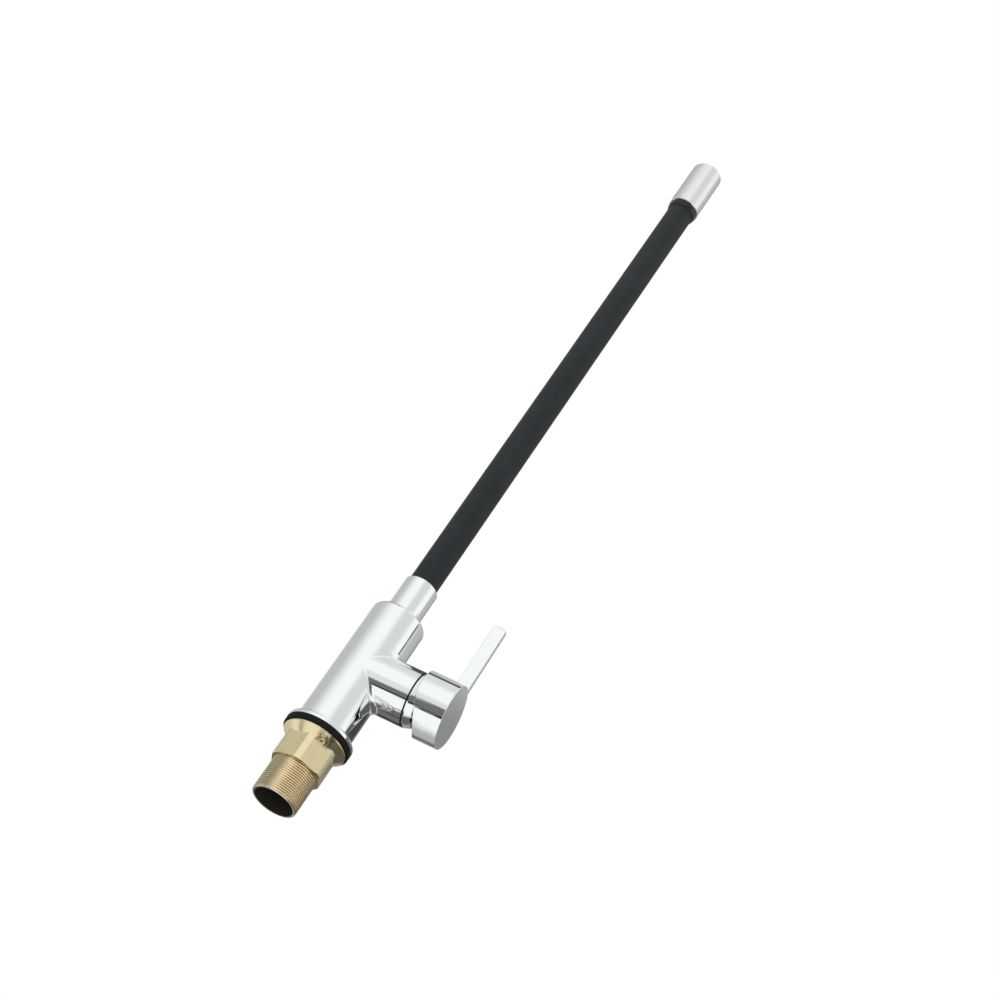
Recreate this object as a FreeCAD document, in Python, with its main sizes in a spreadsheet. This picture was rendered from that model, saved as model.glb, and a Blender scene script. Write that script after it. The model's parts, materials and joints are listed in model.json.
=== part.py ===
import FreeCAD, Part
import math
import os
from types import SimpleNamespace

import Sketcher
from FreeCAD import Placement, Rotation, Vector

# Single-lever kitchen mixer tap with a bendable hose spout, in millimetres.
# The deck surface is z = 0, +Z runs up the barrel and the valve branch points along +X.

DRIVING_SIZES = [
    ("overall_height", 587.0, "deck to the mouth of the outlet"),
    ("gasket_thickness", 3.8, "black sealing ring under the flange"),
    ("gasket_radius", 22.5, "outer radius of the sealing ring"),
    ("flange_radius", 22.6, "foot of the chromed casting"),
    ("flange_height", 3.4, "height of the foot's rim"),
    ("flange_round", 1.6, "rounding of the foot's upper rim"),
    ("barrel_radius", 18.6, "upright barrel of the casting"),
    ("barrel_top", 102.1, "shoulder above the deck"),
    ("shoulder_round", 3.0, "rounding of the shoulder"),
    ("branch_height", 54.5, "axis of the valve branch above the deck"),
    ("branch_radius", 18.3, "outer radius of the valve branch"),
    ("branch_reach", 37.2, "end of the branch from the barrel's axis"),
    ("saddle_round", 3.6, "rounding between barrel and branch"),
    ("thread_radius", 15.0, "major radius of the M30 shank thread"),
    ("shank_bore", 13.0, "inner radius of the shank"),
    ("shank_drop", 46.8, "lower end of the shank below the deck"),
    ("socket_top", 14.0, "floor of the shank's socket in the casting"),
    ("seal_thickness", 1.0, "flat seals of the shank and the valve"),
    ("port_radius", 4.5, "minor radius of the M10 hose threads"),
    ("port_depth", 12.0, "length of the M10 hose threads"),
    ("port_offset", 6.2, "each hose port from the axis"),
    ("nut_flange_radius", 21.2, "wide flange of the locknut"),
    ("nut_rim", 1.2, "thickness of that flange's rim"),
    ("nut_cone_drop", 7.0, "foot of the locknut's cone"),
    ("nut_height", 23.0, "height of the locknut"),
    ("nut_across_flats", 32.2, "spanner size of the locknut"),
    ("nut_corner_radius", 17.5, "turned corners of the hexagon"),
    ("nut_clocking", 36.9, "angle of one corner of the hexagon"),
    ("running_gap", 0.05, "radial clearance of turning and sliding fits"),
    ("swivel_radius", 9.0, "spout stem inside the barrel"),
    ("swivel_floor", 75.5, "floor of the spout's bearing bore"),
    ("retainer_height", 80.0, "retaining screw of the spout"),
    ("collar_radius", 11.65, "spout collar above the shoulder"),
    ("collar_top", 130.3, "upper end of the spout collar"),
    ("collar_floor", 110.0, "floor of the hose recess in the collar"),
    ("hose_radius", 9.8, "outer radius of the hose sleeve"),
    ("hose_bore", 7.6, "inner radius of the hose sleeve"),
    ("tube_radius", 3.4, "outer radius of the water tube"),
    ("tube_bore", 2.5, "inner radius of the water tube"),
    ("link_radius", 7.1, "outer radius of a core link"),
    ("link_bore", 3.6, "water way through a core link"),
    ("ball_radius", 6.0, "ball end of a core link"),
    ("ball_gap", 0.1, "clearance between ball and socket"),
    ("neck_radius", 4.4, "neck above a ball end"),
    ("neck_rise", 5.0, "shoulder of a link above its ball centre"),
    ("socket_rise", 1.6, "rim of a socket above the ball centre"),
    ("end_collar_radius", 11.1, "black ring under the outlet"),
    ("end_collar_height", 5.8, "height of the black ring"),
    ("end_collar_swell", 4.0, "height over which the black ring swells to its full radius"),
    ("cap_radius", 11.8, "chromed outlet sleeve"),
    ("cap_height", 46.7, "height of the outlet sleeve"),
    ("chamber_floor", 11.0, "floor of the valve chamber from the barrel's axis"),
    ("chamber_radius", 13.2, "bore of the valve chamber"),
    ("valve_port_drop", 3.0, "inlet ports below the branch axis"),
    ("valve_outlet_rise", 6.5, "outlet port above the branch axis"),
    ("pivot_reach", 30.0, "lever pivot from the barrel's axis"),
    ("spindle_radius", 4.0, "lever spindle"),
    ("pin_radius", 1.5, "pivot pin"),
    ("cover_radius", 17.9, "chromed cover ring"),
    ("dome_shoulder", 16.6, "foot of the cover ring's dome"),
    ("dome_lip", 13.8, "mouth of the cover ring's dome"),
    ("dome_radius", 21.3, "outside of the dome, about the lever pivot"),
    ("dome_bore", 20.1, "inside of the dome, about the lever pivot"),
    ("hub_radius", 21.2, "round hub of the lever"),
    ("hub_start", 40.7, "inner end of the hub, at its top"),
    ("hub_sweep", 66.0, "radius of the curve that cuts the hub's inner end away below"),
    ("sweep_rise", 8.0, "start of that curve above the branch axis"),
    ("hub_end", 63.4, "flat outer face of the hub"),
    ("hub_cavity", 18.9, "hollow inside the hub"),
    ("blade_width", 8.7, "lever blade along the branch"),
    ("blade_thickness", 4.8, "lever blade across the branch"),
    ("blade_tip", 126.6, "tip of the lever above the deck"),
]

HOSE_BENDS = 8


class Length:
    """A size in millimetres together with the sheet formula that it comes from."""

    def __init__(self, value, formula=None):
        self.value = float(value)
        self.formula = formula or "(%.6f)" % self.value

    def _joined(self, other, sign, result):
        return Length(result, "(%s %s %s)" % (self.formula, sign, other.formula))

    def __add__(self, other):
        other = as_length(other)
        return self._joined(other, "+", self.value + other.value)

    def __sub__(self, other):
        other = as_length(other)
        return self._joined(other, "-", self.value - other.value)

    def __mul__(self, other):
        other = as_length(other)
        return self._joined(other, "*", self.value * other.value)

    def __truediv__(self, other):
        other = as_length(other)
        return self._joined(other, "/", self.value / other.value)

    def __neg__(self):
        return Length(0) - self


def as_length(value):
    return value if isinstance(value, Length) else Length(value)


def leg(longest, other):
    """The remaining side of a right triangle, for a point of a ball at a given height."""
    longest = as_length(longest)
    other = as_length(other)
    value = math.sqrt(longest.value**2 - other.value**2)
    return Length(value, "sqrt(%s ^ 2 - %s ^ 2)" % (longest.formula, other.formula))


def fill_sheet(doc):
    """The spreadsheet of driving sizes, and the same sizes as lengths to calculate with."""
    sheet = doc.addObject("Spreadsheet::Sheet", "sizes")
    for row, (alias, value, meaning) in enumerate(DRIVING_SIZES, 1):
        sheet.set("A%d" % row, meaning)
        sheet.set("B%d" % row, str(value))
        sheet.setAlias("B%d" % row, alias)
    named = {alias: Length(value, "sizes." + alias) for alias, value, _ in DRIVING_SIZES}
    return SimpleNamespace(**named)


doc = FreeCAD.newDocument("kitchen_mixer_tap")
size = fill_sheet(doc)
doc.recompute()

# Heights and places that follow from the driving sizes
FOOT = size.gasket_thickness
FOOT_TOP = size.gasket_thickness + size.flange_height
CAP_FOOT = size.overall_height - size.cap_height
HOSE_END = CAP_FOOT - size.end_collar_height
BEND_STEP = (HOSE_END - size.collar_top) / HOSE_BENDS
ALONG_BRANCH = Rotation(Vector(1, 1, 1), 120)


def bend_height(number):
    """Height of the centre of a bend of the hose, counted from 1 at the collar."""
    return size.collar_top + BEND_STEP * (number - 0.5)


def new_body(label):
    body = doc.addObject("PartDesign::Body", label)
    body.Label = label
    return body


def on_branch(part):
    """Turns a part from its own upright frame into the branch: its Z along +X, its Y up."""
    part.Placement = Placement(Vector(0, 0, size.branch_height.value), ALONG_BRANCH)
    part.setExpression("Placement.Base.z", size.branch_height.formula)
    return part


def raised(part, height):
    part.Placement = Placement(Vector(0, 0, height.value), Rotation())
    part.setExpression("Placement.Base.z", height.formula)
    return part


def new_sketch(body, plane, across=0, up=0, out=0):
    """A sketch on one of the body's origin planes, shifted within and off that plane."""
    sketch = body.newObject("Sketcher::SketchObject", body.Name + "_outline")
    origin_plane = next(f for f in body.Origin.OriginFeatures if f.Role == plane)
    sketch.AttachmentSupport = [(origin_plane, "")]
    sketch.MapMode = "FlatFace"
    shift = [as_length(across), as_length(up), as_length(out)]
    sketch.AttachmentOffset = Placement(Vector(*[part.value for part in shift]), Rotation())
    for letter, part in zip("xyz", shift):
        sketch.setExpression("AttachmentOffset.Base." + letter, part.formula)
    return sketch


def tie_coordinate(sketch, edge, end, kind, place):
    """Ties one coordinate of a point of the sketch to the sheet."""
    if abs(place.value) < 1e-9:
        axis = -2 if kind == "DistanceX" else -1
        sketch.addConstraint(Sketcher.Constraint("PointOnObject", edge, end, axis))
        return
    number = sketch.addConstraint(Sketcher.Constraint(kind, edge, end, place.value))
    sketch.setExpression("Constraints[%d]" % number, place.formula)


def tie_point(sketch, edge, end, across, up):
    tie_coordinate(sketch, edge, end, "DistanceX", across)
    tie_coordinate(sketch, edge, end, "DistanceY", up)


def arc_centre(corner):
    """The centre of the arc that leaves a corner, or None where a straight edge leaves it."""
    if len(corner) == 2:
        return None
    if isinstance(corner[2], tuple):
        return tuple(as_length(part) for part in corner[2])
    return (Length(0), as_length(corner[2]))


def draw_outline(sketch, corners):
    """A closed outline. A corner is (across, up), or (across, up, centre) where the edge that
    leaves it is an arc: the centre is an (across, up) pair, or a height on the upright axis."""
    centres = [arc_centre(corner) for corner in corners]
    corners = [(as_length(corner[0]), as_length(corner[1])) for corner in corners]
    ends = []
    for corner, following, middle in zip(corners, corners[1:] + corners[:1], centres):
        start = Vector(corner[0].value, corner[1].value, 0)
        stop = Vector(following[0].value, following[1].value, 0)
        if middle is None:
            sketch.addGeometry(Part.LineSegment(start, stop), False)
            ends.append((1, 2))
            continue
        centre = Vector(middle[0].value, middle[1].value, 0)
        first, last = [math.atan2(p.y - centre.y, p.x - centre.x) for p in (start, stop)]
        # an arc always runs anticlockwise, so one that is drawn clockwise starts at its far end
        clockwise = (last - first) % math.tau > math.pi
        if clockwise:
            first, last = last, first
        circle = Part.Circle(centre, Vector(0, 0, 1), start.distanceToPoint(centre))
        sketch.addGeometry(Part.ArcOfCircle(circle, first, last), False)
        ends.append((2, 1) if clockwise else (1, 2))
    for edge, (head, tail) in enumerate(ends):
        following = (edge + 1) % len(ends)
        joint = Sketcher.Constraint("Coincident", edge, tail, following, ends[following][0])
        sketch.addConstraint(joint)
    for edge, (corner, middle) in enumerate(zip(corners, centres)):
        tie_point(sketch, edge, ends[edge][0], corner[0], corner[1])
        if middle is not None:
            tie_coordinate(sketch, edge, 3, "DistanceX", middle[0])


def draw_circles(sketch, *circles):
    """Circles given as (across, up, radius)."""
    for circle in circles:
        across, up, radius = [as_length(part) for part in circle]
        centre = Vector(across.value, up.value, 0)
        shape = Part.Circle(centre, Vector(0, 0, 1), radius.value)
        edge = sketch.addGeometry(shape, False)
        tie_point(sketch, edge, 3, across, up)
        number = sketch.addConstraint(Sketcher.Constraint("Radius", edge, radius.value))
        sketch.setExpression("Constraints[%d]" % number, radius.formula)


def draw_box(sketch, left, low, right, high):
    draw_outline(sketch, [(left, low), (right, low), (right, high), (left, high)])


def revolved(body, corners, kind="PartDesign::Revolution"):
    """Turns an outline of (radius, height) corners about the body's Z axis."""
    sketch = new_sketch(body, "XZ_Plane")
    draw_outline(sketch, corners)
    feature = body.newObject(kind, body.Name + "_turned")
    feature.Profile = sketch
    feature.ReferenceAxis = (sketch, ["V_Axis"])
    feature.Angle = 360
    doc.recompute()
    return feature


def turned(label, corners):
    """A body turned about its own Z axis."""
    body = new_body(label)
    revolved(body, corners)
    return body


def grooved(body, corners):
    """Turns an outline away, and makes sure that it took something."""
    before = body.Shape.Volume
    revolved(body, corners, "PartDesign::Groove")
    require_less(body, before)


def padded(body, sketch, length, both_ways=False):
    feature = body.newObject("PartDesign::Pad", body.Name + "_pad")
    feature.Profile = sketch
    feature.Length = as_length(length).value
    feature.setExpression("Length", as_length(length).formula)
    feature.Midplane = both_ways
    doc.recompute()
    return feature


def pocketed(body, sketch, depth, forwards=False, both_ways=False):
    """Cuts a sketch against its plane's normal, or along it when forwards is set."""
    before = body.Shape.Volume
    feature = body.newObject("PartDesign::Pocket", body.Name + "_pocket")
    feature.Profile = sketch
    feature.Length = as_length(depth).value
    feature.setExpression("Length", as_length(depth).formula)
    feature.Reversed = forwards
    feature.Midplane = both_ways
    doc.recompute()
    require_less(body, before)
    return feature


def require_less(body, before):
    if not body.Shape.Volume < before - 1e-3:
        raise RuntimeError("a cut in %s took nothing away" % body.Label)


def repeated(body, feature, count):
    """The same cut again at equal angles about the body's Z axis."""
    pattern = body.newObject("PartDesign::PolarPattern", body.Name + "_pattern")
    pattern.Originals = [feature]
    pattern.Axis = (feature.Profile[0], ["N_Axis"])
    pattern.Angle = 360
    pattern.Occurrences = count
    body.Tip = pattern
    doc.recompute()


def softened(body, radius, wanted, kind="PartDesign::Fillet"):
    """Rounds, or with another kind bevels, the edges of the body that are wanted."""
    solid = body.Tip
    names = ["Edge%d" % n for n, edge in enumerate(solid.Shape.Edges, 1) if wanted(edge)]
    if not names:
        raise RuntimeError("no edge to soften on " + body.Label)
    feature = body.newObject(kind, body.Name + "_edge")
    feature.Base = (solid, names)
    name = "Radius" if kind.endswith("Fillet") else "Size"
    setattr(feature, name, as_length(radius).value)
    feature.setExpression(name, as_length(radius).formula)
    doc.recompute()
    if "Invalid" in feature.State:
        raise RuntimeError("an edge of %s could not be softened" % body.Label)
    return feature


def rim(radius, height):
    """Picks the circular edges of a given radius and height in a body's own upright frame."""
    radius = as_length(radius).value
    height = as_length(height).value

    def wanted(edge):
        curve = edge.Curve
        if not isinstance(curve, Part.Circle):
            return False
        return abs(curve.Radius - radius) < 1e-3 and abs(edge.BoundBox.Center.z - height) < 1e-3

    return wanted


def upright_ring(label, outer, inner, bottom, top, across=0, up=0):
    """A plain ring cut from a cylinder, beside the axis if asked."""
    disc, bore = [doc.addObject("Part::Cylinder", label + name) for name in ("_disc", "_bore")]
    values = {
        "Height": as_length(top) - bottom,
        "Placement.Base.x": as_length(across),
        "Placement.Base.y": as_length(up),
        "Placement.Base.z": as_length(bottom),
    }
    for cylinder, radius in ((disc, outer), (bore, inner)):
        cylinder.setExpression("Radius", as_length(radius).formula)
        for name, value in values.items():
            cylinder.setExpression(name, value.formula)
    ring = doc.addObject("Part::Cut", label)
    ring.Base = disc
    ring.Tool = bore
    return ring


def grouped(label, members):
    """Several like solids as one part."""
    group = doc.addObject("Part::Compound", label)
    group.Label = label
    group.Links = members
    return group


# Casting, foot and shank


def make_body():
    """The chromed casting: foot, barrel and valve branch with their bores and water ways."""
    body = turned(
        "body",
        [
            (0, FOOT),
            (size.flange_radius, FOOT),
            (size.flange_radius, FOOT_TOP),
            (size.barrel_radius, FOOT_TOP),
            (size.barrel_radius, size.barrel_top),
            (0, size.barrel_top),
        ],
    )
    branch = new_sketch(body, "YZ_Plane", up=size.branch_height)
    draw_circles(branch, (0, 0, size.branch_radius))
    padded(body, branch, size.branch_reach)

    def on_saddle(edge):
        return isinstance(edge.Curve, Part.BSplineCurve)

    softened(body, size.saddle_round, on_saddle)
    softened(body, size.shoulder_round, rim(size.barrel_radius, size.barrel_top))
    softened(body, size.flange_round, rim(size.flange_radius, FOOT_TOP))
    softened(body, 1.0, rim(size.barrel_radius, FOOT_TOP))
    bore_the_valve_chamber(body)
    bore_the_barrel(body)
    return body


def bore_the_valve_chamber(body):
    nut_bore_depth = 6.4
    thread = new_sketch(body, "YZ_Plane", up=size.branch_height, out=size.branch_reach)
    draw_circles(thread, (0, 0, 15.5))
    pocketed(body, thread, nut_bore_depth)
    chamber = new_sketch(body, "YZ_Plane", up=size.branch_height, out=size.branch_reach)
    draw_circles(chamber, (0, 0, size.chamber_radius))
    pocketed(body, chamber, size.branch_reach - size.chamber_floor)
    ports = new_sketch(body, "YZ_Plane", up=size.branch_height, out=size.chamber_floor)
    draw_circles(ports, *valve_ports(3.0))
    pocketed(body, ports, size.chamber_floor)


def valve_ports(radius):
    """Two inlets and one outlet, as circles on a plane across the branch."""
    return [
        (-size.port_offset, -size.valve_port_drop, radius),
        (size.port_offset, -size.valve_port_drop, radius),
        (0, size.valve_outlet_rise, radius),
    ]


def bore_the_barrel(body):
    """The shank's socket and hose threads below, the spout's bearing and outlet way above."""
    socket = size.thread_radius + size.running_gap
    bearing = size.swivel_radius + size.running_gap
    outlet_way = 4.0
    outlet_height = size.branch_height + size.valve_outlet_rise
    grooved(body, [(0, FOOT), (socket, FOOT), (socket, size.socket_top), (0, size.socket_top)])
    grooved(
        body,
        [
            (0, outlet_height),
            (outlet_way, outlet_height),
            (outlet_way, size.swivel_floor),
            (bearing, size.swivel_floor),
            (bearing, size.barrel_top),
            (0, size.barrel_top),
        ],
    )
    threads = new_sketch(body, "XY_Plane", out=size.socket_top)
    draw_circles(threads, *[(0, size.port_offset * side, size.port_radius) for side in (-1, 1)])
    pocketed(body, threads, size.port_depth, forwards=True)
    ways = new_sketch(body, "XY_Plane", out=size.socket_top)
    draw_circles(ways, *[(0, size.port_offset * side, 3.0) for side in (-1, 1)])
    inlet_height = size.branch_height - size.valve_port_drop
    pocketed(body, ways, inlet_height - size.socket_top, forwards=True)
    retainer = new_sketch(body, "YZ_Plane", up=size.retainer_height, out=-size.barrel_radius)
    draw_circles(retainer, (0, 0, 2.05))
    pocketed(body, retainer, size.barrel_radius - size.swivel_radius, forwards=True)


def make_base_gasket():
    inner = size.thread_radius + 0.2
    gasket = turned(
        "base_gasket",
        [(inner, 0), (size.gasket_radius, 0), (size.gasket_radius, FOOT), (inner, FOOT)],
    )
    softened(gasket, 0.5, rim(size.gasket_radius, 0), "PartDesign::Chamfer")
    return gasket


def make_threaded_shank():
    top = size.socket_top - size.seal_thickness
    shank = turned(
        "threaded_shank",
        [
            (size.shank_bore, -size.shank_drop),
            (size.thread_radius, -size.shank_drop),
            (size.thread_radius, top),
            (size.shank_bore, top),
        ],
    )
    bevel = rim(size.thread_radius, -size.shank_drop)
    softened(shank, 0.7, bevel, "PartDesign::Chamfer")
    return shank


def make_shank_seal():
    low = size.socket_top - size.seal_thickness
    return turned(
        "shank_seal",
        [
            (size.shank_bore, low),
            (size.thread_radius, low),
            (size.thread_radius, size.socket_top),
            (size.shank_bore, size.socket_top),
        ],
    )


def make_locknut():
    """Brass nut: a hexagon with turned corners that grows out of a cone under a wide flange."""
    bore = size.thread_radius + size.running_gap
    corner = size.nut_corner_radius
    nut = turned(
        "locknut",
        [(bore, -size.nut_height), (corner, -size.nut_height), (corner, -size.nut_rim), (bore, -size.nut_rim)],
    )
    softened(nut, 0.5, rim(corner, -size.nut_height), "PartDesign::Chamfer")
    flats = new_sketch(nut, "XY_Plane", out=-size.nut_height)
    draw_hexagon(flats, size.nut_across_flats)
    draw_circles(flats, (0, 0, corner + 2.0))
    pocketed(nut, flats, size.nut_height - size.nut_rim, forwards=True)
    revolved(
        nut,
        [
            (bore, -size.nut_cone_drop),
            (size.nut_flange_radius, -size.nut_rim),
            (size.nut_flange_radius, 0),
            (bore, 0),
        ],
    )
    nut.Placement = Placement(Vector(), Rotation(Vector(0, 0, 1), size.nut_clocking.value))
    nut.setExpression("Placement.Rotation.Angle", size.nut_clocking.formula + " * 1 deg")
    return nut


# Valve cartridge, in the branch's own frame: heights run outwards along the branch

BASE_BACK = size.chamber_floor + size.seal_thickness
BASE_STEP = BASE_BACK + 2.0
DISC_BACK = BASE_BACK + 4.5
DISC_FACE = DISC_BACK + 3.5
CARRIER_BACK = DISC_FACE + 2.0
CARRIER_FACE = CARRIER_BACK + 4.0
BALL_CENTRE = CARRIER_BACK + 2.4
HOUSING_END = size.chamber_floor + 24.0
RING_BACK = size.branch_reach + 1.0


def make_base_seals():
    places = valve_ports(3.0)
    rings = [
        upright_ring("valve_ring_%d" % n, 4.2, 3.2, size.chamber_floor, BASE_BACK, x, y)
        for n, (x, y, _) in enumerate(places, 1)
    ]
    return on_branch(grouped("base_seals", rings))


def make_cartridge_base():
    base = turned(
        "cartridge_base",
        [
            (0, BASE_BACK),
            (13.0, BASE_BACK),
            (13.0, BASE_STEP),
            (11.5, BASE_STEP),
            (11.5, DISC_BACK),
            (0, DISC_BACK),
        ],
    )
    ports = new_sketch(base, "XY_Plane", out=DISC_BACK)
    draw_circles(ports, *valve_ports(3.0))
    pocketed(base, ports, DISC_BACK - BASE_BACK)
    return on_branch(base)


def make_fixed_disc():
    disc = turned("fixed_disc", [(0, DISC_BACK), (10.6, DISC_BACK), (10.6, DISC_FACE), (0, DISC_FACE)])
    ports = new_sketch(disc, "XY_Plane", out=DISC_FACE)
    draw_circles(ports, *valve_ports(2.8))
    pocketed(disc, ports, DISC_FACE - DISC_BACK)
    return on_branch(disc)


def make_moving_disc():
    """Upper ceramic disc with the mixing hollow in its sealing face."""
    back = DISC_FACE + 0.02
    disc = turned("moving_disc", [(0, back), (8.6, back), (8.6, CARRIER_BACK), (0, CARRIER_BACK)])
    hollow = new_sketch(disc, "XY_Plane", up=2.0, out=back)
    draw_circles(hollow, (0, 0, 5.2))
    pocketed(disc, hollow, 1.1, forwards=True)
    return on_branch(disc)


def make_disc_carrier():
    carrier = turned(
        "disc_carrier",
        [(0, CARRIER_BACK), (8.6, CARRIER_BACK), (8.6, CARRIER_FACE), (0, CARRIER_FACE)],
    )
    slot = new_sketch(carrier, "XY_Plane", out=CARRIER_FACE)
    draw_box(slot, -2.15, -2.2, 2.15, 2.2)
    pocketed(carrier, slot, CARRIER_FACE - CARRIER_BACK)
    return on_branch(carrier)


def make_cartridge_housing():
    housing = turned(
        "cartridge_housing",
        [
            (11.6, BASE_STEP),
            (13.0, BASE_STEP),
            (13.0, HOUSING_END),
            (9.0, HOUSING_END),
            (9.0, HOUSING_END - 2.0),
            (11.6, HOUSING_END - 2.0),
        ],
    )
    return on_branch(housing)


def make_cartridge_collar():
    """Turning collar that carries the pivot pin, slotted so that the spindle can tilt."""
    back = CARRIER_FACE + 0.2
    step = HOUSING_END - 2.2
    top = HOUSING_END + 1.5
    collar = turned(
        "cartridge_collar",
        [(0, back), (11.4, back), (11.4, step), (8.8, step), (8.8, top), (0, top)],
    )
    slot = new_sketch(collar, "XY_Plane", out=top)
    draw_box(slot, -4.2, -7.8, 4.2, 7.8)
    pocketed(collar, slot, top - back)
    pin_hole = new_sketch(collar, "YZ_Plane", up=size.pivot_reach)
    draw_circles(pin_hole, (0, 0, size.pin_radius + 0.02))
    pocketed(collar, pin_hole, 24.0, both_ways=True)
    return on_branch(collar)


def make_pivot_pin():
    pin = new_body("pivot_pin")
    end = new_sketch(pin, "YZ_Plane", up=size.pivot_reach)
    draw_circles(end, (0, 0, size.pin_radius))
    padded(pin, end, 21.0, both_ways=True)
    return on_branch(pin)


def make_spindle():
    """Lever spindle with its ball end in the disc carrier and a cross hole for the pin."""
    ball = 2.0
    neck = 1.3
    shoulder = size.pivot_reach - 2.0
    top = size.hub_end - 3.0
    spindle = turned(
        "spindle",
        [
            (0, BALL_CENTRE - ball, BALL_CENTRE),
            (neck, BALL_CENTRE + leg(ball, neck)),
            (neck, shoulder - 0.8),
            (size.spindle_radius, shoulder),
            (size.spindle_radius, top),
            (0, top),
        ],
    )
    cross_hole = new_sketch(spindle, "YZ_Plane", up=size.pivot_reach)
    draw_circles(cross_hole, (0, 0, size.pin_radius + size.running_gap))
    pocketed(spindle, cross_hole, 12.0, both_ways=True)
    flat = new_sketch(spindle, "XY_Plane", out=top)
    draw_box(flat, size.spindle_radius - 0.4, -5.0, size.spindle_radius + 2.0, 5.0)
    pocketed(spindle, flat, 6.0)
    return on_branch(spindle)


def make_cartridge_nut():
    """Brass ring nut whose skirt screws into the branch, over the cartridge that it holds."""
    skirt = HOUSING_END - 3.2
    step = size.branch_reach - 0.3
    top = step + 5.4
    nut = turned(
        "cartridge_nut",
        [
            (12.0, HOUSING_END),
            (13.1, HOUSING_END),
            (13.1, skirt),
            (15.45, skirt),
            (15.45, step),
            (14.6, step),
            (14.6, top),
            (12.0, top),
        ],
    )
    slot = new_sketch(nut, "XY_Plane", out=top)
    draw_box(slot, 11.0, -1.5, 16.0, 1.5)
    repeated(nut, pocketed(nut, slot, 2.5), 4)
    return on_branch(nut)


def make_branch_seal():
    seal = turned(
        "branch_seal",
        [(15.0, size.branch_reach), (18.05, size.branch_reach), (18.05, RING_BACK), (15.0, RING_BACK)],
    )
    return on_branch(seal)


def make_cover_ring():
    """Chromed ring whose outer end is a ball's shell about the lever's pivot."""
    bore = 14.7
    rim_top = RING_BACK + 0.8

    def on_ball(ball, radius):
        return size.pivot_reach + leg(ball, radius)

    ring = turned(
        "cover_ring",
        [
            (bore, RING_BACK),
            (size.cover_radius, RING_BACK),
            (size.cover_radius, rim_top),
            (size.dome_shoulder, on_ball(size.dome_radius, size.dome_shoulder), size.pivot_reach),
            (size.dome_lip, on_ball(size.dome_radius, size.dome_lip)),
            (size.dome_lip, on_ball(size.dome_bore, size.dome_lip), size.pivot_reach),
            (bore, on_ball(size.dome_bore, bore)),
        ],
    )
    return on_branch(ring)


# Lever

LUG_FACE = size.hub_end - 8.6
CAVITY_END = size.hub_end - 4.5
SCREW_PLACE = size.hub_end - 6.0


def make_handle():
    """Hub and blade of the lever in one casting, with the spindle's boss and the screw's lug."""
    handle = turned(
        "handle",
        [
            (0, LUG_FACE),
            (7.0, LUG_FACE),
            (7.0, CAVITY_END),
            (size.hub_cavity, CAVITY_END),
            (size.hub_cavity, size.hub_start),
            (size.hub_radius, size.hub_start),
            (size.hub_radius, size.hub_end),
            (0, size.hub_end),
        ],
    )
    hollow_the_inner_end(handle)
    blade = new_sketch(handle, "YZ_Plane")
    blade_top = size.blade_tip - size.branch_height
    draw_box(blade, size.hub_cavity + 0.6, size.hub_end - size.blade_width, blade_top, size.hub_end)
    padded(handle, blade, size.blade_thickness, both_ways=True)
    tip = blade_top.value - 0.01
    face = size.hub_end.value - 0.01
    side = size.blade_thickness.value / 2
    above_hub = size.hub_radius.value + 1.0

    def at_tip_corner(edge):
        return edge.BoundBox.YMin > tip and edge.BoundBox.ZLength < 0.01

    def outline(edge):
        box = edge.BoundBox
        on_side = abs(abs(box.XMin) - side) < 0.01 and box.XLength < 0.01
        return box.ZMin > face or (on_side and box.YMax > above_hub)

    softened(handle, 0.9, at_tip_corner)
    # the rounding runs on from the end face around both sides of the blade
    softened(handle, 0.4, outline)
    lug = new_sketch(handle, "YZ_Plane", out=6.0)
    draw_box(lug, -3.6, LUG_FACE, 3.6, CAVITY_END)
    padded(handle, lug, size.hub_cavity - 5.4)
    bore = new_sketch(handle, "XY_Plane", out=LUG_FACE)
    draw_circles(bore, (0, 0, size.spindle_radius + size.running_gap))
    pocketed(handle, bore, size.hub_end - 2.5 - LUG_FACE, forwards=True)
    screw_hole = new_sketch(handle, "YZ_Plane", up=SCREW_PLACE, out=3.0)
    draw_circles(screw_hole, (0, 0, 2.05))
    pocketed(handle, screw_hole, 20.0, forwards=True)
    return on_branch(handle)


def hollow_the_inner_end(handle):
    """Cuts the hub's inner end along a curve, so that its lower side clears the branch when
    the lever is lifted, and rounds the edge that this leaves."""
    below = size.hub_radius + 2.0
    start = size.hub_start
    centre = (size.sweep_rise, start + size.hub_sweep)
    sweep_end = start + size.hub_sweep - leg(size.hub_sweep, below + size.sweep_rise)
    cut = new_sketch(handle, "YZ_Plane")
    draw_outline(
        cut,
        [
            (size.sweep_rise, start - 2.0),
            (size.sweep_rise, start, centre),
            (-below, sweep_end),
            (-below, start - 2.0),
        ],
    )
    pocketed(handle, cut, (size.hub_radius + 1.0) * 2, both_ways=True)
    reach = size.hub_radius.value
    limit = size.hub_end.value - 10.0

    def inner_rim(edge):
        ends = [vertex.Point for vertex in edge.Vertexes]
        across = [abs(math.hypot(point.x, point.y) - reach) < 1e-3 for point in ends]
        return all(across) and not isinstance(edge.Curve, Part.Line) and edge.BoundBox.ZMax < limit

    softened(handle, 0.4, inner_rim)


def make_set_screw(label, radius, start, end, socket_depth, up):
    """Grub screw along the body's X axis with a hexagon socket in its outer end."""
    screw = new_body(label)
    section = new_sketch(screw, "YZ_Plane", up=up, out=start)
    draw_circles(section, (0, 0, radius))
    padded(screw, section, as_length(end) - start)
    socket = new_sketch(screw, "YZ_Plane", up=up, out=end)
    draw_hexagon(socket, 2.0)
    pocketed(screw, socket, socket_depth)
    return screw


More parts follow.
